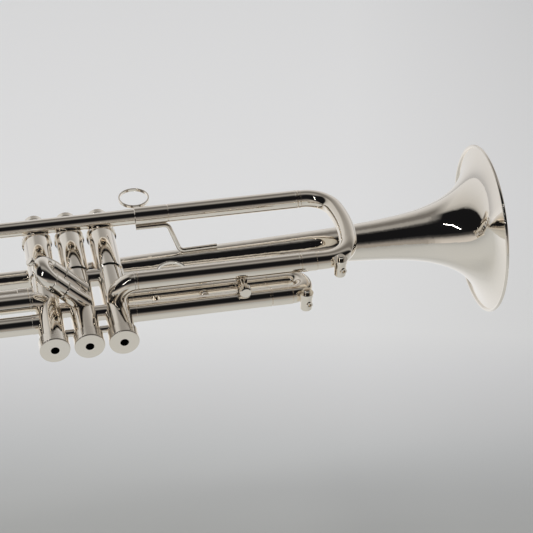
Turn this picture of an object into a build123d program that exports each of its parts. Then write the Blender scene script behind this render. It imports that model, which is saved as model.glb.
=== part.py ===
from build123d import *
import os
from math import sin, cos, asin, radians, hypot, sqrt, pi

# Three-valve B flat trumpet, turned on its left side and held level by the valve block.
# +X runs from the mouthpiece to the bell, +Y runs from the bottom caps to the finger
# buttons, +Z is the player's right. The origin is on the second valve's axis, in the
# middle of the length of casing that the left hand holds. All sizes are millimetres.

# --- valve block -----------------------------------------------------------------
valve_pitch = 23.0            # first, second and third valve, centre to centre
cap_face_y = -60.0            # outer faces of the bottom caps
cap_floor = 3.0               # thickness of a bottom cap's floor
cap_d = 20.4                  # bottom cap
cap_len = 9.0
cap_hole_d = 5.4              # vent in each bottom cap
lower_d = 18.0                # casing below its step
upper_d = 19.2                # casing above its step
step_y = 15.5                 # height of the step
casing_top_y = 58.0
top_cap_d = 21.2
top_cap_y = 62.0              # top face of the top caps
knurls = 30                   # grooves round a top cap
step_ring_w = 3.0             # ring that stiffens the casing at its step
step_ring_d = 20.2
piston_d = 16.4
piston_clear = 0.03           # radial running clearance of a piston
piston_low_y = -40.0
piston_shoulder_y = 20.0      # porting body below, spring barrel above
barrel_d = 15.6
barrel_bore_d = 13.0
barrel_top_y = 54.5
valve_travel = 16.5
stem_d = 5.0
stem_gap = 0.35               # radial room of a stem in its top cap
button_top_y = 84.0
button_d = 14.6
button_h = 4.6
pearl_d = 11.6
felt_h = 2.0
guide_y = 21.6                # underside of the fixed valve guides
guide_h = 1.6
guide_w = 4.0

# --- tubing ------------------------------------------------------------------------
bore_d = 11.4                 # air passage
slide_wall = 0.37             # inner slide tube
sleeve_wall = 0.5             # outer slide tube
slide_clear = 0.03            # radial clearance of an inner slide tube
bow_wall = 0.65
slide_d = bore_d + 2 * slide_wall
sleeve_id = slide_d + 2 * slide_clear
sleeve_d = sleeve_id + 2 * sleeve_wall
bow_d = bore_d + 2 * bow_wall
collar_d = sleeve_d + 0.3     # turned ring at the open end of an outer slide tube
collar_len = 1.6
slide_gap = 0.2               # between an outer tube and the slide's shoulder
edge = 0.4                    # bevel on the end of every outer tube, ring and ferrule

# --- leadpipe and main tuning slide ---------------------------------------------------
lead_y = 51.3                 # leadpipe and upper leg
lead_z = 20.4                 # leadpipe, both main legs
main_low_y = -22.3            # lower leg
knuckle_r = 13.8              # elbow from the lower leg into the third valve
receiver_back_x = -181.0
receiver_len = 33.0
receiver_d = 14.4
lead_back_x = -153.0
lead_back_d = 10.2
lead_front_d = 11.5
lead_ferrule_x = 46.0         # ferrule from here to lead_sleeve_x
lead_sleeve_x = 69.7          # upper outer tube starts
lead_sleeve_end = 163.8
low_sleeve_x = valve_pitch + knuckle_r + 0.6
low_sleeve_end = 150.4
low_ferrule_end = 161.3
main_bow_reach = 190.2        # centre line of the bow's front
main_bow_r = 20.9             # corners of the bow
main_front_r = 97.0           # slight curve of its front
main_engage = 88.0            # length of inner tube inside each outer tube

# --- bell --------------------------------------------------------------------------------
bell_y = 43.2
bell_z = -18.4
rim_x = 303.5
rim_r = 61.2                  # middle of the rolled rim bead
bead_d = 2.6
bell_wall = 0.8
flare_x = 262.0               # joint between the spun flare and the drawn tail
rim_lip = 0.3                 # the flare ends this far inside the middle of the bead
bell_tail_x = -68.0
tail_d = 13.6
# outer radius of the bell against the distance from the rim
bell_profile = [(0.0, 60.9), (2.0, 54.6), (5.0, 47.4), (10.0, 39.5), (15.0, 34.2), (20.0, 30.4),
                (30.0, 25.0), (40.0, 21.4), (50.0, 18.9), (65.0, 16.5), (80.0, 14.9),
                (100.0, 13.5), (130.0, 12.1), (160.0, 11.1), (200.0, 10.1), (240.0, 9.1),
                (275.0, 8.0), (305.0, 7.25), (335.0, 6.9), (371.5, 6.8)]
bell_turn_x = -111.0           # start of the bell bow's half turn
bell_port_y = 4.0             # where the bell bow enters the first valve
bell_port_z = -4.0
tail_ferrule_len = 14.0

# --- first valve slide ---------------------------------------------------------------------
first_up_y = -15.0
first_up_z = 7.0
first_low_y = -30.5
first_low_z = 0.0
first_sleeve_end = -valve_pitch - 49.0
first_shoulder = first_sleeve_end - 12.0
first_engage = 34.0

# --- second valve slide ----------------------------------------------------------------------
second_turn = 44.0            # degrees that it points back from straight out
second_off = 5.0              # its legs pass this far in front of the valve axis
second_up_y = -6.5
second_low_y = second_up_y - sleeve_d - 1.6
second_sleeve_len = 23.0
second_shoulder = 34.0

# --- third valve slide -------------------------------------------------------------------------
third_up_y = -10.8
third_up_z = -2.0
third_low_y = -30.3
third_low_z = 0.0
third_sleeve_end = 128.4
third_shoulder = 143.2
third_engage = 78.0

# --- rings, braces, water keys, holder ----------------------------------------------------------
ring_wall = 1.1
ring_w = 2.4
pinky_x = 48.5
pinky_d = 22.0
pinky_off = 3.7
pinky_foot = 4.6
finger_x = 66.0
finger_d = 23.0
finger_lean = 6.0
rod_d = 2.6                   # rear brace
front_rod_d = 3.4             # front brace, between the leadpipe and the bell
key_d = 8.4
key_len = 14.0
key_bore_d = 5.0
key_clear = 0.05
key_travel = 2.5
main_key_turn = 16.0          # degrees round the bow from its lower leg
third_key_turn = 24.0
holder_x = 109.6
holder_w = 6.6
lyre_d = 3.2
lyre_z = 10.9
screw_head_d = 8.4
holder_screw_d = 2.6

part_dir = "parts"
nodes = {}


def keep(name, shape):
    nodes[name] = shape


def rod(p, q, d):
    a = Vector(*p)
    b = Vector(*q)
    return Solid.make_cylinder(d / 2, (b - a).length, Plane(origin=a, z_dir=(b - a)))


def cone(p, q, d1, d2):
    a = Vector(*p)
    b = Vector(*q)
    return Solid.make_cone(d1 / 2, d2 / 2, (b - a).length, Plane(origin=a, z_dir=(b - a)))


def pipe(p, q, od, inner):
    return rod(p, q, od) - rod(p, q, inner)


def bevelled(p, q, d):
    body = rod(p, q, d)
    return chamfer(body.edges().filter_by(GeomType.CIRCLE), edge)


def ferrule_pipe(p, q, od, inner):
    return bevelled(p, q, od) - rod(p, q, inner)


def bent(points, radius, d):
    path = FilletPolyline(*points, radius=radius)
    start = Plane(origin=path @ 0, z_dir=path % 0)
    return sweep(start * Circle(d / 2), path=path).solid()


def bent_pipe(points, radius, od, inner):
    return bent(points, radius, od) - bent(points, radius, inner)


def u_bow(pa, pb, along, od, inner):
    # half a torus between two parallel legs
    va = Vector(*pa)
    vb = Vector(*pb)
    d = Vector(*along)
    across = vb - va
    turn = Axis((va + vb) * 0.5, across.cross(d) * -1)
    start = Plane(origin=va, z_dir=d)
    big = revolve(start * Circle(od / 2), turn, 180).solid()
    return big - revolve(start * Circle(inner / 2), turn, 180).solid()


def group(shapes):
    return Compound(children=list(shapes))


def ring(center, normal, od, wall, width):
    c = Vector(*center)
    n = Vector(*normal).normalized()
    a = c - n * (width / 2)
    b = c + n * (width / 2)
    body = rod(a, b, od) - rod(a, b, od - 2 * wall)
    return fillet(body.edges(), wall * 0.35)


valve_x = [-valve_pitch, 0.0, valve_pitch]
casing_low_y = cap_face_y + cap_floor
casing_bore = piston_d + 2 * piston_clear

# directions of the second slide and of its offset
out2 = Vector(-sin(radians(second_turn)), 0, cos(radians(second_turn)))
side2 = Vector(cos(radians(second_turn)), 0, sin(radians(second_turn)))


def second_leg(y, t):
    return side2 * second_off + out2 * t + Vector(0, y, 0)


def casing_body(x, grow=0.0):
    low = rod((x, casing_low_y, 0), (x, step_y, 0), lower_d + grow)
    up = rod((x, step_y, 0), (x, casing_top_y, 0), upper_d + grow)
    lip = rod((x, step_y - 1.0, 0), (x, step_y - 1.0 + step_ring_w, 0), step_ring_d + grow)
    lip = chamfer(lip.edges().filter_by(GeomType.CIRCLE).sort_by(Axis.Y)[:1], 1.0)
    lip = chamfer(lip.edges().filter_by(GeomType.CIRCLE).sort_by(Axis.Y)[-1:], 0.4)
    return low + up + lip


# --- casings with the ports of every tube that opens into them ---------------------------------
tie_pitch = valve_pitch / 2
upper_port_y = 12.6
port_12_y = -19.0
port_23_y = -26.3
tie_y = -44.0


def knuckle_cut(x1, x2, y):
    return rod((x1, y, 0), (x2, y, 0), bore_d - 1.6)


casings = [casing_body(x) - rod((x, casing_low_y - 1, 0), (x, casing_top_y + 1, 0), casing_bore)
           for x in valve_x]
casings[0] -= rod((-60, bell_port_y, bell_port_z), (valve_x[0], bell_port_y, bell_port_z), bore_d)
casings[0] -= rod((-60, first_low_y, first_low_z), (valve_x[0], first_low_y, first_low_z), bore_d)
casings[0] -= rod((valve_x[0] - 4, first_up_y, 12), (valve_x[0] - 2, first_up_y, 2), bore_d - 2)
casings[1] -= rod(second_leg(second_up_y, 0), second_leg(second_up_y, 20), bore_d)
casings[1] -= rod(second_leg(second_low_y, 0), second_leg(second_low_y, 20), bore_d)
casings[2] -= rod((valve_x[2], main_low_y, 2), (valve_x[2], main_low_y, 20), bore_d)
casings[2] -= rod((valve_x[2], third_low_y, third_low_z), (60, third_low_y, third_low_z), bore_d)
casings[2] -= rod((valve_x[2], third_up_y, third_up_z), (60, third_up_y, third_up_z), bore_d)
for i, y in ((0, port_12_y), (1, port_23_y)):
    casings[i] -= knuckle_cut(valve_x[i], valve_x[i] + tie_pitch, y)
    casings[i + 1] -= knuckle_cut(valve_x[i] + tie_pitch, valve_x[i + 1], y)
for i in range(3):
    keep("valve_casing_%d" % (i + 1), casings[i])

# short air passages and solid ties between neighbouring casings
block = casing_body(valve_x[0]) + casing_body(valve_x[1]) + casing_body(valve_x[2])
ties = []
for i, y in ((0, port_12_y), (1, port_23_y)):
    xa = valve_x[i]
    xb = valve_x[i + 1]
    ties.append(pipe((xa, y, 0), (xb, y, 0), 10.6, bore_d - 1.6) - block)
    ties.append(rod((xa, upper_port_y, 0), (xb, upper_port_y, 0), 12.4) - block)
    ties.append(rod((xa, tie_y, 0), (xb, tie_y, 0), 5.0) - block)
keep("casing_ties", group([s for t in ties for s in t.solids()]))

# --- caps ----------------------------------------------------------------------------------------
bottom_caps = []
top_caps = []
for x in valve_x:
    cap = rod((x, cap_face_y, 0), (x, cap_face_y + cap_len, 0), cap_d)
    cap = fillet(cap.edges().sort_by(Axis.Y)[:1], 0.9)
    cap -= rod((x, casing_low_y, 0), (x, cap_face_y + cap_len + 1, 0), lower_d)
    cap -= rod((x, cap_face_y - 1, 0), (x, casing_low_y + 1, 0), cap_hole_d)
    bottom_caps.append(cap)
    top = rod((x, casing_top_y, 0), (x, top_cap_y, 0), top_cap_d)
    top = fillet(top.edges().sort_by(Axis.Y)[-1:], 1.2)
    top -= [rod((x + top_cap_d / 2 * cos(2 * pi * k / knurls), casing_top_y + 0.6,
                 top_cap_d / 2 * sin(2 * pi * k / knurls)),
                (x + top_cap_d / 2 * cos(2 * pi * k / knurls), top_cap_y + 1,
                 top_cap_d / 2 * sin(2 * pi * k / knurls)), 0.7) for k in range(knurls)]
    plug_y = barrel_top_y + felt_h + 0.5
    top += rod((x, plug_y, 0), (x, casing_top_y + 0.5, 0), casing_bore - 0.1)
    top -= rod((x, plug_y - 1, 0), (x, top_cap_y + 1, 0), stem_d + 2 * stem_gap)
    top_caps.append(top)
keep("bottom_caps", group(bottom_caps))
keep("top_caps", group(top_caps))

# --- pistons, springs, guides, buttons ---------------------------------------------------------------
guide_len = casing_bore
guides = []
for i, x in enumerate(valve_x):
    body = rod((x, piston_low_y, 0), (x, piston_shoulder_y, 0), piston_d)
    body += rod((x, piston_shoulder_y, 0), (x, barrel_top_y, 0), barrel_d)
    body -= rod((x, piston_shoulder_y, 0), (x, barrel_top_y - 2.0, 0), barrel_bore_d)
    body -= rod((x, piston_low_y - 1, 0), (x, piston_low_y + 1.5, 0), piston_d - 3)
    port_y = piston_low_y + 2.5 + bore_d / 2
    body -= rod((x - 10, port_y, 0), (x + 10, port_y, 0), bore_d)
    turned = Location((x, port_y + bore_d + 3, 0), (0, 50, 0))
    body -= turned * rod((-10, 0, 0), (10, 0, 0), bore_d)
    turned = Location((x, port_y + 2 * bore_d + 6, 0), (0, -50, 0))
    body -= turned * rod((-10, 0, 0), (10, 0, 0), bore_d)
    slot_top = guide_y + guide_h + valve_travel + 1.0
    slot_mid = (guide_y - 0.6 + slot_top) / 2
    slot = Box(2 * piston_d, slot_top - guide_y + 0.6, guide_w + 0.8)
    body -= Location((x, slot_mid, 0)) * slot
    keep("piston_%d" % (i + 1), body)
    stem = rod((x, barrel_top_y, 0), (x, button_top_y - button_h, 0), stem_d)
    button = rod((x, button_top_y - button_h, 0), (x, button_top_y, 0), button_d)
    button = fillet(button.edges().sort_by(Axis.Y)[:1], 0.6)
    button = fillet(button.edges().sort_by(Axis.Y)[-1:], 0.7)
    button -= rod((x, button_top_y - 1.2, 0), (x, button_top_y + 1, 0), pearl_d)
    keep("button_%d" % (i + 1), stem + button)
    pearl = rod((x, button_top_y - 1.2, 0), (x, button_top_y + 0.2, 0), pearl_d)
    pearl = fillet(pearl.edges().sort_by(Axis.Y)[-1:], 0.3)
    keep("pearl_%d" % (i + 1), pearl)
    felt = pipe((x, barrel_top_y, 0), (x, barrel_top_y + felt_h, 0), barrel_d - 1.6, stem_d)
    keep("felt_%d" % (i + 1), felt)
    bar = Location((x, guide_y + guide_h / 2, 0)) * Box(guide_len, guide_h, guide_w)
    bar = bar & rod((x, guide_y - 1, 0), (x, guide_y + 3, 0), guide_len)
    guides.append(bar)
    coils = 6
    wire = 0.9
    y1 = guide_y + guide_h + wire / 2
    y2 = barrel_top_y - 2.0 - wire / 2
    pitch = (y2 - y1) / coils
    helix = Helix(pitch=pitch, height=y2 - y1, radius=5.2)
    coil = sweep(Plane(origin=helix @ 0, z_dir=helix % 0) * Circle(wire / 2), path=helix,
                 is_frenet=True).solid()
    coil = Location((x, y1, 0), (-90, 0, 0)) * coil
    keep("spring_%d" % (i + 1), coil)
keep("valve_guides", group([s for g in guides for s in g.solids()]))

# --- bell, its rolled rim, bell bow and ferrules --------------------------------------------------------
tail_r = bell_profile[-1][1]
flare_scale = (rim_r - rim_lip - tail_r) / (bell_profile[0][1] - tail_r)
outer_pts = [(rim_x - s, tail_r + (r - tail_r) * flare_scale) for s, r in bell_profile]
outer_edge = Spline(*outer_pts)
wall_steps = 120
inner_pts = []
for k in range(wall_steps + 1):
    spot = outer_edge @ (k / wall_steps)
    way = outer_edge % (k / wall_steps)
    inner_pts.append((spot.X - way.Y * bell_wall, spot.Y + way.X * bell_wall))
inner_edge = Spline(*inner_pts)
rim_line = Line(outer_pts[0], inner_pts[0])
tail_line = Line(outer_pts[-1], inner_pts[-1])
skin = make_face([outer_edge, tail_line, inner_edge, rim_line])
bell = revolve(skin, Axis.X).solid()
bell = Location((0, bell_y, bell_z)) * bell
bead = Solid.make_torus(rim_r, bead_d / 2, Plane(origin=(rim_x, bell_y, bell_z), z_dir=(1, 0, 0)))
behind = rod((bell_tail_x - 1, bell_y, bell_z), (flare_x, bell_y, bell_z), 4 * rim_r)
keep("bell_tail", bell & behind)
keep("bell_flare", ((bell - behind) + bead).solid())

tail_id = tail_d - 2 * bell_wall
first_cut = casing_body(valve_x[0])
bell_bow = u_bow((bell_turn_x, bell_y, bell_z), (bell_turn_x, bell_port_y, bell_port_z),
                 (-1, 0, 0), tail_d, tail_id)
bell_bow += pipe((bell_turn_x, bell_y, bell_z), (bell_tail_x, bell_y, bell_z), tail_d, tail_id)
bell_bow += pipe((bell_turn_x, bell_port_y, bell_port_z), (valve_x[0], bell_port_y, bell_port_z),
                 tail_d, tail_id)
bell_bow -= first_cut
bell_bow = bell_bow.solids().sort_by(SortBy.VOLUME)[-1]
keep("bell_bow", bell_bow)
ferrule_a = ferrule_pipe((bell_tail_x - tail_ferrule_len / 2, bell_y, bell_z),
                         (bell_tail_x + tail_ferrule_len / 2, bell_y, bell_z), tail_d + 1.2, tail_d)
ferrule_b = ferrule_pipe((valve_x[0] - 19.0, bell_port_y, bell_port_z), (valve_x[0] - 11.5, bell_port_y, bell_port_z),
                         tail_d + 0.9, tail_d)
ferrule_a -= bell

# --- leadpipe, mouthpiece receiver, main slide's outer tubes ---------------------------------------------
lead_front = (lead_sleeve_x, lead_y, lead_z)
lead_back = (lead_back_x, lead_y, lead_z)
leadpipe = cone(lead_back, lead_front, lead_back_d, lead_front_d)
leadpipe -= cone(lead_back, lead_front, lead_back_d - 1.6, lead_front_d - 1.2)
keep("leadpipe", leadpipe)
ferrule = bevelled((lead_ferrule_x, lead_y, lead_z), lead_front, sleeve_d)
ferrule -= cone(lead_back, lead_front, lead_back_d, lead_front_d)
keep("fixed_ferrules", group([ferrule_a, ferrule_b, ferrule]))

shank_d = 9.7                 # mouthpiece shank at its tip
shank_in = 25.0               # depth of the shank in the receiver
taper = 1 / 20
tip_x = receiver_back_x + shank_in
mouth_d = shank_d + shank_in * taper
rb = (receiver_back_x, lead_y, lead_z)
rf = (receiver_back_x + receiver_len, lead_y, lead_z)
receiver = rod(rb, rf, receiver_d)
receiver = chamfer(receiver.edges().sort_by(Axis.X)[-1:], 1.6)
receiver += rod(rb, (receiver_back_x + 3.0, lead_y, lead_z), receiver_d + 1.6)
receiver += rod((receiver_back_x + 9, lead_y, lead_z), (receiver_back_x + 10.6, lead_y, lead_z),
                receiver_d + 0.9)
receiver -= cone(rb, (tip_x + 1, lead_y, lead_z), mouth_d + 2 * slide_clear,
                 shank_d - taper + 2 * slide_clear)
receiver -= rod((tip_x, lead_y, lead_z), lead_back, lead_back_d - 1.6)
receiver -= rod(lead_back, (rf[0] + 1, lead_y, lead_z), lead_back_d)
receiver -= leadpipe
keep("mouthpiece_receiver", receiver.solids().sort_by(SortBy.VOLUME)[-1])


def sleeve(x1, x2, y, z, collar_at):
    # outer slide tube with a turned ring at its open end
    way = 1 if collar_at > min(x1, x2) else -1
    tube = bevelled((x1, y, z), (x2, y, z), sleeve_d)
    tube += bevelled((collar_at - way * collar_len, y, z), (collar_at, y, z), collar_d)
    return tube - rod((x1, y, z), (x2, y, z), sleeve_id)


third_cut = casing_body(valve_x[2])
main_outer = [sleeve(lead_sleeve_x, lead_sleeve_end, lead_y, lead_z, lead_sleeve_end),
              sleeve(low_sleeve_x, low_sleeve_end, main_low_y, lead_z, low_sleeve_end)]
keep("main_slide_sleeves", group(main_outer))
knuckle_pts = [(low_sleeve_x, main_low_y, lead_z), (valve_x[2], main_low_y, lead_z),
               (valve_x[2], main_low_y, 3.0)]
knuckle = bent(knuckle_pts, knuckle_r, sleeve_d)
knuckle += bevelled((low_sleeve_x - 2.2, main_low_y, lead_z), (low_sleeve_x, main_low_y, lead_z),
                    collar_d)
knuckle -= third_cut
knuckle -= bent(knuckle_pts, knuckle_r, bore_d)
third_knuckle = knuckle.solids().sort_by(SortBy.VOLUME)[-1]

# --- main tuning slide -------------------------------------------------------------------------------------
up_start = lead_sleeve_end - main_engage
low_start = low_sleeve_end - main_engage
up_shoulder = lead_sleeve_end + slide_gap
low_shoulder = low_sleeve_end + slide_gap
up_ferrule_end = up_shoulder + 2.4
tubes = [pipe((up_start, lead_y, lead_z), (up_ferrule_end, lead_y, lead_z), slide_d, bore_d),
         pipe((low_start, main_low_y, lead_z), (low_ferrule_end, main_low_y, lead_z), slide_d, bore_d)]
keep("main_slide_tubes", group(tubes))
main_ferrules = [ferrule_pipe((up_shoulder, lead_y, lead_z), (up_ferrule_end, lead_y, lead_z),
                              sleeve_d, slide_d),
                 ferrule_pipe((low_shoulder, main_low_y, lead_z), (low_ferrule_end, main_low_y, lead_z),
                              sleeve_d, slide_d)]
keep("main_slide_ferrules", group(main_ferrules))

# the bow's line: two tight corners joined by a slightly curved front
bow_mid_y = (lead_y + main_low_y) / 2
half_gap = (lead_y - main_low_y) / 2 - main_bow_r
front_c = main_bow_reach - main_front_r
corner_c = front_c + sqrt((main_front_r - main_bow_r) ** 2 - half_gap ** 2)
lean_c = asin(half_gap / (main_front_r - main_bow_r))
mid_c = (pi / 2 + lean_c) / 2


def bow_point(side, angle, r, cx, cy):
    return (cx + r * cos(angle), bow_mid_y + side * (cy + r * sin(angle)), lead_z)


def main_bow_path():
    top_a = bow_point(1, pi / 2, main_bow_r, corner_c, half_gap)
    top_m = bow_point(1, mid_c, main_bow_r, corner_c, half_gap)
    top_b = bow_point(1, lean_c, main_front_r, front_c, 0)
    low_a = bow_point(-1, pi / 2, main_bow_r, corner_c, half_gap)
    low_m = bow_point(-1, mid_c, main_bow_r, corner_c, half_gap)
    low_b = bow_point(-1, lean_c, main_front_r, front_c, 0)
    return Wire([
        Edge.make_line((up_ferrule_end, lead_y, lead_z), top_a),
        Edge.make_three_point_arc(top_a, top_m, top_b),
        Edge.make_three_point_arc(top_b, (main_bow_reach, bow_mid_y, lead_z), low_b),
        Edge.make_three_point_arc(low_b, low_m, low_a),
        Edge.make_line(low_a, (low_ferrule_end, main_low_y, lead_z)),
    ])


def main_bow_solid(d):
    path = main_bow_path()
    start = Plane(origin=(up_ferrule_end, lead_y, lead_z), z_dir=(1, 0, 0))
    return sweep(start * Circle(d / 2), path=path).solid()


main_bow = main_bow_solid(bow_d) - main_bow_solid(bore_d)


def water_key(tag, cx, cy, z_mid, seat, seat_bore):
    # barrel across the bow's plane, push button at its right-hand end
    z1 = z_mid - key_len / 2
    z2 = z_mid + key_len / 2
    barrel = rod((cx, cy, z1), (cx, cy, z2), key_d)
    barrel = fillet(barrel.edges().sort_by(Axis.Z)[:1], 1.5)
    barrel += rod((cx, cy, z2 - 2.4), (cx, cy, z2), key_d + 1.0)
    noz = Vector(0.30, -0.95, 0).normalized()
    n1 = Vector(cx, cy, z_mid - 1.0)
    barrel += rod(n1, n1 + noz * (key_d / 2 + 0.7), 4.6)
    barrel += rod(n1, Vector(*seat), 5.0)
    barrel -= rod((cx, cy, z1 + 1.6), (cx, cy, z2 + 1), key_bore_d + 2 * key_clear)
    barrel -= rod(n1, n1 + noz * (key_d / 2 + 2.0), 2.6)
    plunger = rod((cx, cy, z_mid - 2.6), (cx, cy, z2 + 2.9), key_bore_d)
    plunger -= ring((cx, cy, z_mid + 2.2), (0, 0, 1), key_bore_d + 1, 1.2, 2.0)
    plunger = chamfer(plunger.edges().sort_by(Axis.Z)[-1:], 0.5)
    wire = 0.5
    s1 = z1 + 1.6 + wire / 2
    s2 = z_mid - 2.6 - wire / 2
    helix = Helix(pitch=(s2 - s1) / 3, height=s2 - s1, radius=1.8)
    coil = sweep(Plane(origin=helix @ 0, z_dir=helix % 0) * Circle(wire / 2), path=helix,
                 is_frenet=True).solid()
    keep("water_key_plunger_" + tag, plunger)
    keep("water_key_spring_" + tag, Location((cx, cy, s1)) * coil)
    return barrel


key_ang = radians(main_key_turn)
key_out = bow_d / 2 + key_d / 2 - 0.4
corner_r = main_bow_r
corner = (corner_c, bow_mid_y - half_gap)
k1x = corner[0] + (corner_r + key_out) * sin(key_ang)
k1y = corner[1] - (corner_r + key_out) * cos(key_ang)
seat1 = (corner[0] + corner_r * sin(key_ang), corner[1] - corner_r * cos(key_ang), lead_z)
key1 = water_key("main", k1x, k1y, lead_z - 0.5, seat1, bore_d)
key1 -= main_bow_solid(bow_d)
keep("water_key_barrel_main", key1.solids().sort_by(SortBy.VOLUME)[-1])
keep("main_slide_bow", main_bow)

# --- third valve slide ------------------------------------------------------------------------------------------
legs3 = ((third_up_y, third_up_z), (third_low_y, third_low_z))
x3 = valve_x[2] + lower_d / 2 + 1.0
sleeves3 = []
for y, z in legs3:
    s = sleeve(x3 - 3, third_sleeve_end, y, z, third_sleeve_end)
    s += ferrule_pipe((x3 - 3, y, z), (x3 + 2.5, y, z), collar_d, bore_d)
    s -= third_cut
    sleeves3.append(s.solids().sort_by(SortBy.VOLUME)[-1])
keep("third_slide_sleeves", group(sleeves3))
tubes3 = [pipe((third_sleeve_end - third_engage, y, z), (third_shoulder, y, z), slide_d, bore_d)
          for y, z in legs3]
keep("third_slide_tubes", group(tubes3))
ferr3 = [ferrule_pipe((third_sleeve_end + slide_gap, y, z), (third_shoulder, y, z), sleeve_d, slide_d)
         for y, z in legs3]
keep("third_slide_ferrules", group(ferr3))
gap3 = hypot(third_up_y - third_low_y, third_up_z - third_low_z)
ends3 = ((third_shoulder, third_up_y, third_up_z), (third_shoulder, third_low_y, third_low_z))
keep("third_slide_bow", u_bow(ends3[0], ends3[1], (1, 0, 0), bow_d, bore_d))
mid3_y = (third_up_y + third_low_y) / 2
mid3_z = (third_up_z + third_low_z) / 2
key_ang = radians(third_key_turn)
k3x = third_shoulder + (gap3 / 2 + key_out) * sin(key_ang)
k3y = mid3_y - (gap3 / 2 + key_out) * cos(key_ang)
seat3 = (third_shoulder + gap3 / 2 * sin(key_ang), mid3_y - gap3 / 2 * cos(key_ang), third_low_z)
key3 = water_key("third", k3x, k3y, third_low_z, seat3, bore_d)
key3 -= u_bow(ends3[0], ends3[1], (1, 0, 0), bow_d, 1.0)
keep("water_key_barrel_third", key3.solids().sort_by(SortBy.VOLUME)[-1])

# --- first valve slide ------------------------------------------------------------------------------------------
legs1 = ((first_up_y, first_up_z), (first_low_y, first_low_z))
sleeves1 = []
xk = valve_x[0] - 12.0
s = sleeve(xk, first_sleeve_end, first_up_y, first_up_z, first_sleeve_end)
sleeves1.append(s)
s = sleeve(valve_x[0] - lower_d / 2 + 2, first_sleeve_end, first_low_y, first_low_z, first_sleeve_end)
s += ferrule_pipe((valve_x[0] - lower_d / 2 + 2, first_low_y, first_low_z),
                  (valve_x[0] - lower_d / 2 - 3.5, first_low_y, first_low_z), collar_d, bore_d)
s -= first_cut
sleeves1.append(s.solids().sort_by(SortBy.VOLUME)[-1])
keep("first_slide_sleeves", group(sleeves1))
elbow_pts = [(xk, first_up_y, first_up_z), (valve_x[0] - 6.2, first_up_y, first_up_z),
             (valve_x[0] - 1.5, first_up_y, 1.0)]
elbow = bent_pipe(elbow_pts, 9.0, sleeve_d, bore_d)
elbow += ferrule_pipe((xk, first_up_y, first_up_z), (xk + 2.0, first_up_y, first_up_z), collar_d, bore_d)
elbow -= first_cut
keep("valve_knuckles", group([elbow.solids().sort_by(SortBy.VOLUME)[-1], third_knuckle]))
tubes1 = [pipe((first_sleeve_end + first_engage, y, z), (first_shoulder, y, z), slide_d, bore_d)
          for y, z in legs1]
keep("first_slide_tubes", group(tubes1))
ferr1 = [ferrule_pipe((first_sleeve_end - slide_gap, y, z), (first_shoulder, y, z), sleeve_d, slide_d)
         for y, z in legs1]
keep("first_slide_ferrules", group(ferr1))
ends1 = ((first_shoulder, first_up_y, first_up_z), (first_shoulder, first_low_y, first_low_z))
keep("first_slide_bow", u_bow(ends1[0], ends1[1], (-1, 0, 0), bow_d, bore_d))

# --- second valve slide --------------------------------------------------------------------------------------------
second_cut = casing_body(valve_x[1]) + casing_body(valve_x[0]) + casing_body(valve_x[2])
t_in = 3.0
sleeves2 = []
tubes2 = []
ferr2 = []
for y in (second_up_y, second_low_y):
    s = rod(second_leg(y, t_in), second_leg(y, second_sleeve_len - edge), sleeve_d)
    s += bevelled(second_leg(y, second_sleeve_len - collar_len), second_leg(y, second_sleeve_len), collar_d)
    s -= rod(second_leg(y, t_in), second_leg(y, second_sleeve_len), sleeve_id)
    s -= second_cut
    sleeves2.append(s.solids().sort_by(SortBy.VOLUME)[-1])
    tubes2.append(pipe(second_leg(y, 12.5), second_leg(y, second_shoulder), slide_d, bore_d))
    ferr2.append(ferrule_pipe(second_leg(y, second_sleeve_len + slide_gap),
                              second_leg(y, second_shoulder), sleeve_d, slide_d))
keep("second_slide_sleeves", group(sleeves2))
keep("second_slide_tubes", group(tubes2))
keep("second_slide_ferrules", group(ferr2))
gap2 = second_up_y - second_low_y
reach2 = second_shoulder + gap2 / 2
ends2 = (second_leg(second_up_y, second_shoulder), second_leg(second_low_y, second_shoulder))
keep("second_slide_bow", u_bow(ends2[0], ends2[1], out2, bow_d, bore_d))
mid2 = (second_up_y + second_low_y) / 2
knob2 = rod(second_leg(mid2, reach2), second_leg(mid2, reach2 + bow_d / 2 + 3.0), 3.0)
knob2 += rod(second_leg(mid2, reach2 + bow_d / 2 + 2.0), second_leg(mid2, reach2 + bow_d / 2 + 5.0), 6.4)
knob2 = fillet(knob2.edges().filter_by(GeomType.CIRCLE).sort_by(SortBy.LENGTH)[-2:], 0.9)
knob2 -= u_bow(ends2[0], ends2[1], out2, bow_d, 1.0)
keep("second_slide_knob", knob2.solids().sort_by(SortBy.VOLUME)[-1])

# --- finger rings ------------------------------------------------------------------------------------------------------
ferrule_solid = rod((lead_ferrule_x, lead_y, lead_z), (lead_sleeve_x + 20, lead_y, lead_z), sleeve_d)
py = lead_y + sqrt((sleeve_d / 2) ** 2 - pinky_off ** 2) + pinky_d / 2 + 0.7
pinky = ring((pinky_x, py, lead_z + pinky_off), (0, 0, 1), pinky_d, ring_wall, ring_w)
foot = Location((pinky_x, py - pinky_d / 2 - 0.6, lead_z + pinky_off)) * Box(pinky_foot, 3.4, ring_w - 0.5)
foot -= rod((pinky_x, py, -50), (pinky_x, py, 50), pinky_d - 2 * ring_wall)
pinky = pinky + foot
pinky -= ferrule_solid
keep("pinky_ring", pinky.solids().sort_by(SortBy.VOLUME)[-1])

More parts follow.
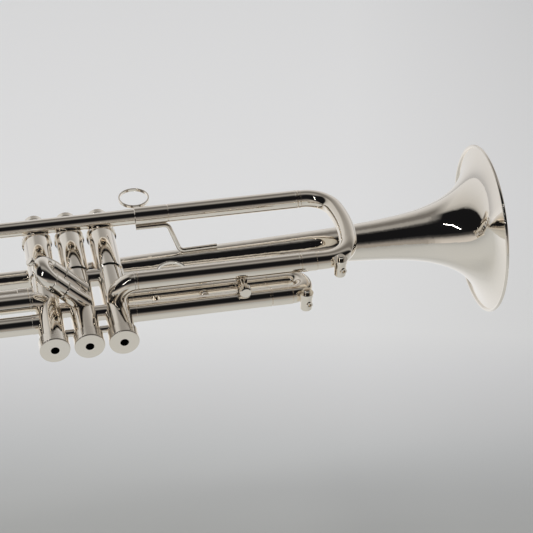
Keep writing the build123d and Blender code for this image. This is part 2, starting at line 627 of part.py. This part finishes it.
lean = radians(finger_lean)
away = Vector(0, cos(lean), sin(lean))
base = Vector(finger_x, third_up_y, third_up_z)
fc = base + away * (sleeve_d / 2 + finger_d / 2 + 0.8)
normal = Vector(0, -sin(lean), cos(lean))
finger = ring(tuple(fc), tuple(normal), finger_d, ring_wall, ring_w)
stub = Location(base + away * (sleeve_d / 2 + 0.4), (finger_lean, 0, 0)) * Box(10.0, 3.6, ring_w - 0.6)
stub -= rod(fc - normal * 20, fc + normal * 20, finger_d - 2 * ring_wall)
finger = finger + stub
finger -= rod((30, third_up_y, third_up_z), (140, third_up_y, third_up_z), sleeve_d)
keep("third_slide_ring", finger.solids().sort_by(SortBy.VOLUME)[-1])

# thumb saddle on the first slide's bow end
saddle_c = Vector(first_sleeve_end - 6.4, first_up_y, first_up_z)
sc = saddle_c + Vector(0, 1, 0) * (sleeve_d / 2 + 10.0)
saddle = ring(tuple(sc), (0, 0, 1), 20.0, ring_wall, 7.0)
saddle -= Location(sc + Vector(0, 8.5, 0)) * Box(14.0, 8.0, 12.0)
saddle -= rod((-120, first_up_y, first_up_z), (-40, first_up_y, first_up_z), sleeve_d)
keep("first_slide_saddle", saddle.solids().sort_by(SortBy.VOLUME)[-1])

# --- braces -----------------------------------------------------------------------------------------------------------
bell_solid = Location((0, bell_y, bell_z)) * revolve(
    make_face([outer_edge, Line(outer_pts[-1], (outer_pts[-1][0], 0)),
               Line((outer_pts[-1][0], 0), (outer_pts[0][0], 0)), Line((outer_pts[0][0], 0), outer_pts[0])]),
    Axis.X).solid()
foot_r = sleeve_d / 2 + front_rod_d / 2 - 0.25
fy = lead_y - foot_r * 0.61
fz = lead_z - foot_r * 0.79
front_pts = [(lead_ferrule_x + 0.5, fy, fz), (69.5, fy, fz), (77.5, bell_y - 0.5, bell_z + 10.9),
             (104.0, bell_y - 0.5, bell_z + 11.6)]
front_brace = bent(front_pts, 4.5, front_rod_d) - bell_solid - ferrule_solid
lead_solid = cone(lead_back, lead_front, lead_back_d, lead_front_d)
front_brace -= lead_solid
tail_solid = rod((bell_turn_x, bell_y, bell_z), (bell_tail_x, bell_y, bell_z), tail_d)
rear_r = lead_back_d / 2 + rod_d / 2
ry = lead_y - rear_r * 0.61
rz = lead_z - rear_r * 0.79
rear_pts = [(-136.0, ry, rz), (-118.0, ry, rz), (-106.0, bell_y, bell_z + tail_d / 2 + rod_d / 2 - 0.2),
            (-82.0, bell_y, bell_z + tail_d / 2 + rod_d / 2 - 0.2)]
rear_brace = bent(rear_pts, 3.2, rod_d) - tail_solid - lead_solid
keep("leadpipe_braces", group([front_brace.solids().sort_by(SortBy.VOLUME)[-1],
                               rear_brace.solids().sort_by(SortBy.VOLUME)[-1]]))
saddles = []
for x in (valve_x[0], valve_x[2]):
    b = rod((x, bell_y - 3, -upper_d / 2 + 1.5), (x, bell_y - 3, bell_z), 6.0)
    b -= casing_body(x)
    b -= bell_solid
    saddles.append(b.solids().sort_by(SortBy.VOLUME)[-1])

posts3 = []
up_solid3 = rod((30, third_up_y, third_up_z), (140, third_up_y, third_up_z), sleeve_d)
low_solid3 = rod((30, third_low_y, third_low_z), (140, third_low_y, third_low_z), sleeve_d)
span = Vector(0, third_low_y - third_up_y, third_low_z - third_up_z).normalized()
post_xs = (51.0, 84.0)
for x in post_xs:
    a = Vector(x, third_up_y, third_up_z) + span * (sleeve_d / 2 - 0.6)
    b = Vector(x, third_low_y, third_low_z) - span * (sleeve_d / 2 - 0.6)
    mid = (a + b) * 0.5
    post = rod(a, b, 3.0) + rod(a, a + span * 1.5, 6.4) + rod(b - span * 1.5, b, 6.4)
    if x == post_xs[-1]:
        knob = rod(mid - span * 1.6, mid + span * 1.6, 6.8)
        post += fillet(knob.edges().filter_by(GeomType.CIRCLE), 1.4)
    posts3.append(post - up_solid3 - low_solid3)
keep("post_braces", group(saddles + [p.solids().sort_by(SortBy.VOLUME)[-1] for p in posts3]))

# --- lyre holder between the third slide's outer tubes, with its thumbscrew ----------------------------------
hy = (third_up_y + third_low_y) / 2
holder_h = lyre_z + 3.5
holder = Location((holder_x, hy, holder_h / 2 - 1.1)) * Box(holder_w, 6.2, holder_h)
holder -= up_solid3
holder -= low_solid3
holder = holder.solids().sort_by(SortBy.VOLUME)[-1]
lz = lyre_z
holder -= rod((holder_x - 6, hy, lz), (holder_x + 6, hy, lz), lyre_d)
holder -= rod((holder_x, hy - 5, lz), (holder_x, hy, lz), holder_screw_d + 0.1)
keep("lyre_holder", holder)
screw = rod((holder_x, hy - lyre_d / 2 - 0.25, lz), (holder_x, hy - 14.0, lz), holder_screw_d)
head = rod((holder_x, hy - 16.5, lz), (holder_x, hy - 11.0, lz), screw_head_d)
head = chamfer(head.edges(), 0.7)
for k in range(12):
    a = 2 * pi * k / 12
    gx = holder_x + (screw_head_d / 2 + 0.2) * cos(a)
    gz = lz + (screw_head_d / 2 + 0.2) * sin(a)
    head -= rod((gx, hy - 17, gz), (gx, hy - 10, gz), 0.9)
keep("lyre_screw", screw + head)

# --- mouthpiece --------------------------------------------------------------------------------------------------------
mp = [(0.0, shank_d / 2), (25.0, mouth_d / 2), (44.0, 5.9), (52.0, 6.6), (58.0, 8.6), (64.0, 11.2),
      (70.0, 12.6), (78.0, 12.9), (81.0, 13.6), (85.0, 13.6), (86.6, 12.4), (87.0, 10.6)]
cup = [(86.2, 9.0), (84.5, 8.35), (80.0, 7.9), (76.0, 6.4), (73.5, 4.0), (71.5, 2.2), (69.0, 1.85),
       (60.0, 1.85), (30.0, 3.2), (0.0, 4.1)]
outline = [(tip_x - s, r) for s, r in mp] + [(tip_x - s, r) for s, r in cup]
mouthpiece = revolve(make_face(Polyline(*outline, close=True).edges()), Axis.X).solid()
keep("mouthpiece", Location((0, lead_y, lead_z)) * mouthpiece)

os.makedirs(part_dir, exist_ok=True)
for name, shape in nodes.items():
    export_step(shape, os.path.join(part_dir, name + ".step"))
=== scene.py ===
import math

import bpy
from mathutils import Matrix, Vector

# --- frame ---------------------------------------------------------------------------
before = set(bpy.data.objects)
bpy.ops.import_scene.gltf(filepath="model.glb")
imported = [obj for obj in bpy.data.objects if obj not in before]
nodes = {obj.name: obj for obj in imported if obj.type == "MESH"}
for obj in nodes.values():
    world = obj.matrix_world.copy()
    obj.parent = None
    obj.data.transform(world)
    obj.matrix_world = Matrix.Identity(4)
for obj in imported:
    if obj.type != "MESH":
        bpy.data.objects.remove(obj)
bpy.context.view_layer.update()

# --- finishes ------------------------------------------------------------------------
SILVER = (0.955, 0.905, 0.835)        # polished silver plate, slightly warm
SILVER_WARM = (0.93, 0.862, 0.765)    # where the plate has a breath of tarnish
NICKEL = (0.80, 0.775, 0.73)          # valve pistons and inner slide tubes
STEEL = (0.56, 0.55, 0.53)


def adder(tree):
    """A helper that adds a node to tree and sets its inputs by name."""

    def add(kind, **inputs):
        node = tree.nodes.new(kind)
        for key, value in inputs.items():
            node.inputs[key.replace("_", " ")].default_value = value
        return node

    return add


def node_tree(name):
    """A new node material, its tree, its Principled shader and its node helper."""
    mat = bpy.data.materials.new(name)
    mat.use_nodes = True
    tree = mat.node_tree
    return mat, tree, tree.nodes["Principled BSDF"], adder(tree)


def map_range(tree, add, source, start, end, low=0.0, high=1.0):
    """source mapped from start..end to low..high, held at both ends."""
    node = add("ShaderNodeMapRange")
    node.inputs["From Min"].default_value = start
    node.inputs["From Max"].default_value = end
    node.inputs["To Min"].default_value = low
    node.inputs["To Max"].default_value = high
    tree.links.new(source, node.inputs["Value"])
    return node.outputs["Result"]


def maths(tree, operation, *values):
    """A Math node; each value is a number or another node's output."""
    node = tree.nodes.new("ShaderNodeMath")
    node.operation = operation
    for socket, value in zip(node.inputs, values):
        if isinstance(value, (int, float)):
            socket.default_value = value
        else:
            tree.links.new(value, socket)
    return node.outputs["Value"]


def mix_colours(tree, factor, first, second):
    """first where factor is 0, second where it is 1; each a colour or a node's output."""
    node = tree.nodes.new("ShaderNodeMix")
    node.data_type = "RGBA"
    tree.links.new(factor, node.inputs["Factor"])
    for key, value in (("A", first), ("B", second)):
        if isinstance(value, tuple):
            node.inputs[key].default_value = (*value, 1)
        else:
            tree.links.new(value, node.inputs[key])
    return node.outputs["Result"]


def object_space(tree, add, stretch=(1, 1, 1)):
    """Object coordinates, scaled apart along each axis."""
    coords = add("ShaderNodeTexCoord")
    mapping = add("ShaderNodeMapping")
    mapping.inputs["Scale"].default_value = stretch
    tree.links.new(coords.outputs["Object"], mapping.inputs["Vector"])
    return mapping.outputs["Vector"]


def ramp(tree, add, source, stops):
    """A colour ramp over source; stops are (position, colour) pairs."""
    node = add("ShaderNodeValToRGB")
    for _ in range(len(stops) - 2):
        node.color_ramp.elements.new(0.5)
    for element, (position, colour) in zip(node.color_ramp.elements, stops):
        element.position = position
        element.color = (*colour, 1)
    tree.links.new(source, node.inputs["Fac"])
    return node.outputs["Color"]


def polished(name, clean, aged, rough_low, rough_high, stretch=(60, 60, 60), wipe=0.0000025):
    """Plated metal: cloudy warmth, patches of finer and coarser polish, and faint wiping marks."""
    mat, tree, shader, add = node_tree(name)
    shader.inputs["Metallic"].default_value = 1.0
    cloud = add("ShaderNodeTexNoise", Scale=9.0, Detail=4.0, Roughness=0.6)
    tree.links.new(object_space(tree, add), cloud.inputs["Vector"])
    tree.links.new(
        ramp(tree, add, cloud.outputs["Fac"], [(0.38, clean), (0.72, aged)]),
        shader.inputs["Base Color"],
    )
    haze = add("ShaderNodeTexNoise", Scale=32.0, Detail=5.0, Roughness=0.65)
    tree.links.new(object_space(tree, add), haze.inputs["Vector"])
    tree.links.new(
        map_range(tree, add, haze.outputs["Fac"], 0.35, 0.75, rough_low, rough_high),
        shader.inputs["Roughness"],
    )
    marks = add("ShaderNodeTexNoise", Scale=1.0, Detail=6.0, Roughness=0.7)
    tree.links.new(object_space(tree, add, stretch), marks.inputs["Vector"])
    bump = add("ShaderNodeBump", Strength=0.6, Distance=wipe)
    tree.links.new(marks.outputs["Fac"], bump.inputs["Height"])
    tree.links.new(bump.outputs["Normal"], shader.inputs["Normal"])
    return mat


VALVE_PITCH = 0.023               # the casings stand this far apart along X


# painted shade with a film of oil: near black, for the insides of the valves
SHADE_AND_OIL_DARK = (0.012, 0.011, 0.010)


def shade_and_oil_inside(mat, radius, before=None):
    """Darken a valve piece within radius of its own axis, and only below Y=before if given:
    painted shade inside the bore, with a film of oil.
    """
    tree = mat.node_tree
    base = tree.nodes["Principled BSDF"].inputs["Base Color"]
    coords = tree.nodes.new("ShaderNodeTexCoord")
    split = tree.nodes.new("ShaderNodeSeparateXYZ")
    tree.links.new(coords.outputs["Object"], split.inputs["Vector"])
    x, y, z = (split.outputs[axis] for axis in "XYZ")
    across = maths(tree, "WRAP", x, VALVE_PITCH / 2, -VALVE_PITCH / 2)
    squares = maths(
        tree,
        "ADD",
        maths(tree, "MULTIPLY", across, across),
        maths(tree, "MULTIPLY", z, z),
    )
    inside = maths(tree, "LESS_THAN", maths(tree, "SQRT", squares), radius)
    if before is not None:
        inside = maths(tree, "MULTIPLY", inside, maths(tree, "LESS_THAN", y, before))
    plate = base.links[0].from_socket
    tree.links.new(mix_colours(tree, inside, plate, SHADE_AND_OIL_DARK), base)


# wiping marks run along the tubes, round the bell and round the turned pieces
tube_silver = polished("tube_silver", SILVER, SILVER_WARM, 0.035, 0.075, (40, 900, 900))
bell_silver = polished("bell_silver", SILVER, SILVER_WARM, 0.03, 0.065, (700, 120, 120))
turned_silver = polished("turned_silver", SILVER, SILVER_WARM, 0.06, 0.11, (500, 900, 500))
cast_silver = polished("cast_silver", SILVER, SILVER_WARM, 0.07, 0.13, (350, 350, 350))
casing_silver = polished("casing_silver", SILVER, SILVER_WARM, 0.04, 0.08, (900, 40, 900))
cap_silver = polished("cap_silver", (0.93, 0.89, 0.83), SILVER_WARM, 0.14, 0.24, (900, 900, 900))
slide_nickel = polished("slide_nickel", NICKEL, (0.74, 0.70, 0.63), 0.09, 0.16, (1500, 60, 60))
piston_nickel = polished("piston_nickel", NICKEL, (0.72, 0.69, 0.63), 0.10, 0.18, (60, 1500, 60))
spring_steel = polished("spring_steel", STEEL, (0.47, 0.45, 0.42), 0.22, 0.34, (900, 900, 900))
CASING_INSIDE = 0.0085            # between the bore and the outside of a casing
VENT_RADIUS = 0.0029
PISTON_INSIDE = 0.0083
PISTON_FOOT = -0.035
# painted shade with oil film: the casings' bores, the caps' vents and the pistons' feet go near
# black
shade_and_oil_inside(casing_silver, CASING_INSIDE)
shade_and_oil_inside(cap_silver, VENT_RADIUS)
shade_and_oil_inside(piston_nickel, PISTON_INSIDE, before=PISTON_FOOT)


def pearl_material():
    """Mother of pearl: wavy layers of cream, pink and green under a clear coat."""
    mat, tree, shader, add = node_tree("pearl_inlay")
    shader.inputs["Roughness"].default_value = 0.22
    shader.inputs["Coat Weight"].default_value = 0.8
    shader.inputs["Coat Roughness"].default_value = 0.05
    layers = add("ShaderNodeTexWave", Scale=160.0, Distortion=9.0, Detail=3.0)
    layers.inputs["Detail Scale"].default_value = 1.4
    tree.links.new(object_space(tree, add), layers.inputs["Vector"])
    tree.links.new(
        ramp(
            tree,
            add,
            layers.outputs["Fac"],
            [
                (0.0, (0.72, 0.70, 0.66)),
                (0.35, (0.80, 0.72, 0.70)),
                (0.7, (0.70, 0.76, 0.70)),
                (1.0, (0.88, 0.87, 0.83)),
            ],
        ),
        shader.inputs["Base Color"],
    )
    bump = add("ShaderNodeBump", Strength=0.3, Distance=0.00002)
    tree.links.new(layers.outputs["Fac"], bump.inputs["Height"])
    tree.links.new(bump.outputs["Normal"], shader.inputs["Normal"])
    return mat


def felt_material():
    """Dark wool felt with loose fibres."""
    mat, tree, shader, add = node_tree("wool_felt")
    shader.inputs["Roughness"].default_value = 0.95
    shader.inputs["Sheen Weight"].default_value = 0.4
    fibres = add("ShaderNodeTexNoise", Scale=2600.0, Detail=5.0, Roughness=0.75)
    tree.links.new(object_space(tree, add), fibres.inputs["Vector"])
    tree.links.new(
        ramp(
            tree,
            add,
            fibres.outputs["Fac"],
            [(0.3, (0.018, 0.018, 0.02)), (0.7, (0.07, 0.068, 0.066))],
        ),
        shader.inputs["Base Color"],
    )
    bump = add("ShaderNodeBump", Strength=0.8, Distance=0.0002)
    tree.links.new(fibres.outputs["Fac"], bump.inputs["Height"])
    tree.links.new(bump.outputs["Normal"], shader.inputs["Normal"])
    return mat


pearl = pearl_material()
felt = felt_material()

FINISH = {
    "bell_flare": bell_silver,
    "bell_tail": bell_silver,
    "bottom_caps": cap_silver,
    "top_caps": turned_silver,
    "casing_ties": cast_silver,
    "lyre_holder": cast_silver,
    "lyre_screw": turned_silver,
    "mouthpiece": bell_silver,
    "second_slide_knob": turned_silver,
    "valve_guides": piston_nickel,
}
FINISH_BY_START = (
    ("button_", turned_silver),
    ("pearl_", pearl),
    ("felt_", felt),
    ("piston_", piston_nickel),
    ("spring_", spring_steel),
    ("water_key_spring", spring_steel),
    ("water_key_", turned_silver),
    ("valve_casing", casing_silver),
    ("valve_knuckles", cast_silver),
)


def finish_of(name):
    """The finish of a CAD node, from its name."""
    if name in FINISH:
        return FINISH[name]
    for start, mat in FINISH_BY_START:
        if name.startswith(start):
            return mat
    if name.endswith("_tubes"):
        return slide_nickel
    if name.endswith(("braces", "_ring", "_saddle", "ferrules")):
        return cast_silver
    return tube_silver


for name, obj in nodes.items():
    for material_slot in obj.material_slots:
        material_slot.material = finish_of(name)

# --- floor ---------------------------------------------------------------------------
FLOOR_Z = -0.30
FLOOR_SIZE = 14.0
FLOOR_TURN = math.radians(-12.6)  # the sweep of paper faces the camera
floor_mesh = bpy.data.meshes.new("floor")
half = FLOOR_SIZE / 2
floor_mesh.from_pydata(
    [(-half, -half, 0), (half, -half, 0), (half, half, 0), (-half, half, 0)],
    [],
    [(0, 1, 2, 3)],
)
floor = bpy.data.objects.new("floor", floor_mesh)
floor.location = (0, 0, FLOOR_Z)
floor.rotation_euler = (0, 0, FLOOR_TURN)
bpy.context.scene.collection.objects.link(floor)


# how far the paper's shading runs, from the camera's side to the far side
NEAR, FAR = 0.034, 0.534
GLOW = 0.55                       # the paper's own light, as the camera sees it
# painted light, as from a tall light tent: the paper glows, and the metal sees the paper near it
# brighter than the camera does
MIRRORED_NEAR, MIRRORED_FAR = 1.12, 0.60


def paper_material():
    """Pale seamless paper, darker towards the camera and the right, where less light falls."""
    mat, tree, shader, add = node_tree("pale_paper")
    shader.inputs["Roughness"].default_value = 0.9
    shader.inputs["Specular IOR Level"].default_value = 0.1
    coords = add("ShaderNodeTexCoord")
    split = add("ShaderNodeSeparateXYZ")
    tree.links.new(coords.outputs["Object"], split.inputs["Vector"])
    shade = ramp(
        tree,
        add,
        map_range(tree, add, split.outputs["Y"], NEAR, FAR),
        [
            (0.0, (0.310, 0.316, 0.312)),
            (0.16, (0.350, 0.358, 0.362)),
            (0.26, (0.400, 0.410, 0.418)),
            (0.36, (0.455, 0.462, 0.472)),
            (0.48, (0.515, 0.522, 0.535)),
            (0.58, (0.565, 0.572, 0.580)),
            (1.0, (0.585, 0.592, 0.605)),
        ],
    )
    fade = tree.nodes.new("ShaderNodeVectorMath")
    fade.operation = "SCALE"
    tree.links.new(shade, fade.inputs[0])
    side = map_range(tree, add, split.outputs["X"], 0.22, 0.50, 1.0, 0.86)
    tree.links.new(side, fade.inputs["Scale"])
    tree.links.new(fade.outputs["Vector"], shader.inputs["Base Color"])
    tree.links.new(fade.outputs["Vector"], shader.inputs["Emission Color"])
    # painted glow: the paper's emission is weaker to the camera than in the metal's reflections
    view = add("ShaderNodeLightPath")
    glow = add("ShaderNodeMapRange")
    glow.inputs["To Max"].default_value = GLOW
    mirrored = map_range(
        tree, add, split.outputs["Y"], 0.10, 0.50, MIRRORED_NEAR, MIRRORED_FAR
    )
    tree.links.new(mirrored, glow.inputs["To Min"])
    tree.links.new(view.outputs["Is Camera Ray"], glow.inputs["Value"])
    tree.links.new(glow.outputs["Result"], shader.inputs["Emission Strength"])
    return mat


floor_mesh.materials.append(paper_material())

# --- light ---------------------------------------------------------------------------
# The room as the metal sees it: dark above and behind the camera, a soft panel overhead,
# a pale wall beyond. A plain pale surround is what shows behind the object.
ROOM = (
    (0.000, (0.34, 0.315, 0.285)),
    (0.075, (0.30, 0.275, 0.25)),
    (0.150, (0.05, 0.048, 0.048)),
    (0.200, (0.008, 0.008, 0.009)),
    (0.425, (0.008, 0.008, 0.009)),
    (0.480, (0.08, 0.078, 0.076)),
    (0.530, (0.33, 0.32, 0.305)),
    (0.585, (0.33, 0.32, 0.305)),
    (0.650, (0.17, 0.16, 0.15)),
    (0.720, (0.17, 0.16, 0.15)),
    (0.800, (0.34, 0.33, 0.315)),
    (0.880, (0.55, 0.54, 0.53)),
    (1.000, (0.70, 0.70, 0.70)),
)
# towards the mouthpiece end the dark reaches over the top and the wall beyond is paler
ROOM_LEFT = (
    (0.000, (0.62, 0.585, 0.545)),
    (0.060, (0.50, 0.47, 0.44)),
    (0.130, (0.06, 0.056, 0.054)),
    (0.180, (0.008, 0.008, 0.009)),
    (0.600, (0.008, 0.008, 0.009)),
    (0.650, (0.40, 0.39, 0.37)),
    (0.720, (0.54, 0.53, 0.51)),
    (1.000, (0.70, 0.70, 0.70)),
)
SURROUND = (0.60, 0.605, 0.61)

# how far to the left a direction points before the left-hand room takes over
LEFT_STARTS, LEFT_FULL = -0.16, -0.34

world = bpy.data.worlds.new("studio")
bpy.context.scene.world = world
world.use_nodes = True
wt = world.node_tree
add = adder(wt)
direction = add("ShaderNodeTexCoord")
parts_of = add("ShaderNodeSeparateXYZ")
wt.links.new(direction.outputs["Generated"], parts_of.inputs["Vector"])
# the turn about the instrument's length: 0 at the camera's horizon, 1 at the far one
angle = maths(
    wt,
    "ARCTAN2",
    maths(wt, "ABSOLUTE", parts_of.outputs["Z"]),
    maths(wt, "MULTIPLY", parts_of.outputs["Y"], -1.0),
)
turn = map_range(wt, add, angle, 0.0, math.pi)
room = mix_colours(
    wt,
    map_range(wt, add, parts_of.outputs["X"], LEFT_STARTS, LEFT_FULL),
    ramp(wt, add, turn, ROOM),
    ramp(wt, add, turn, ROOM_LEFT),
)
seen = add("ShaderNodeLightPath")
sky = mix_colours(wt, seen.outputs["Is Camera Ray"], room, SURROUND)
wt.links.new(sky, wt.nodes["Background"].inputs["Color"])


def panel(name, place, aim, size, watts, colour=(1, 0.98, 0.95), glossy=True):
    """A rectangular soft light at place, facing aim."""
    light = bpy.data.lights.new(name, "AREA")
    light.shape = "RECTANGLE"
    light.size, light.size_y = size
    light.energy = watts
    light.color = colour
    obj = bpy.data.objects.new(name, light)
    obj.location = place
    obj.rotation_euler = (Vector(aim) - Vector(place)).to_track_quat("-Z", "Y").to_euler()
    obj.visible_glossy = glossy
    obj.visible_camera = False
    bpy.context.scene.collection.objects.link(obj)
    return obj


# the overhead panel lights the paper; its reflection is already part of the room
panel("overhead", (0.1, 0.25, 2.2), (0.1, 0.1, 0), (2.0, 1.2), 34, glossy=False)
# a slim upright strip draws the bright dashes on the flare, the bow and the elbows

panel("strip", (-0.845, -0.874, 1.4), (0.275, 0.026, 0.0), (0.03, 1.1), 1.6, (1, 1, 1))

# --- camera --------------------------------------------------------------------------
AZIMUTH = -12.586                 # degrees, 0 looks along +Y
ELEVATION = 37.648
ROLL = 1.275
AIM = Vector((0.1323, 0.0035, 0.0))
DISTANCE = 1.211
FOCAL = 116.52                    # mm on a 36 mm sensor

a, e, r = (math.radians(x) for x in (AZIMUTH, ELEVATION, ROLL))
back = Vector((math.sin(a) * math.cos(e), -math.cos(a) * math.cos(e), math.sin(e)))
right = Vector((math.cos(a), math.sin(a), 0))
up = back.cross(right)
right_rolled = right * math.cos(r) + up * math.sin(r)
up_rolled = up * math.cos(r) - right * math.sin(r)
camera_data = bpy.data.cameras.new("camera")
camera_data.lens = FOCAL
camera_data.sensor_width = 36.0
camera_data.clip_start = 0.01
camera = bpy.data.objects.new("camera", camera_data)
camera.matrix_world = Matrix.Translation(AIM + back * DISTANCE) @ Matrix(
    (right_rolled, up_rolled, back)
).transposed().to_4x4()
bpy.context.scene.collection.objects.link(camera)
bpy.context.scene.camera = camera

bpy.context.scene.view_settings.view_transform = "Standard"
bpy.context.scene.view_settings.look = "None"
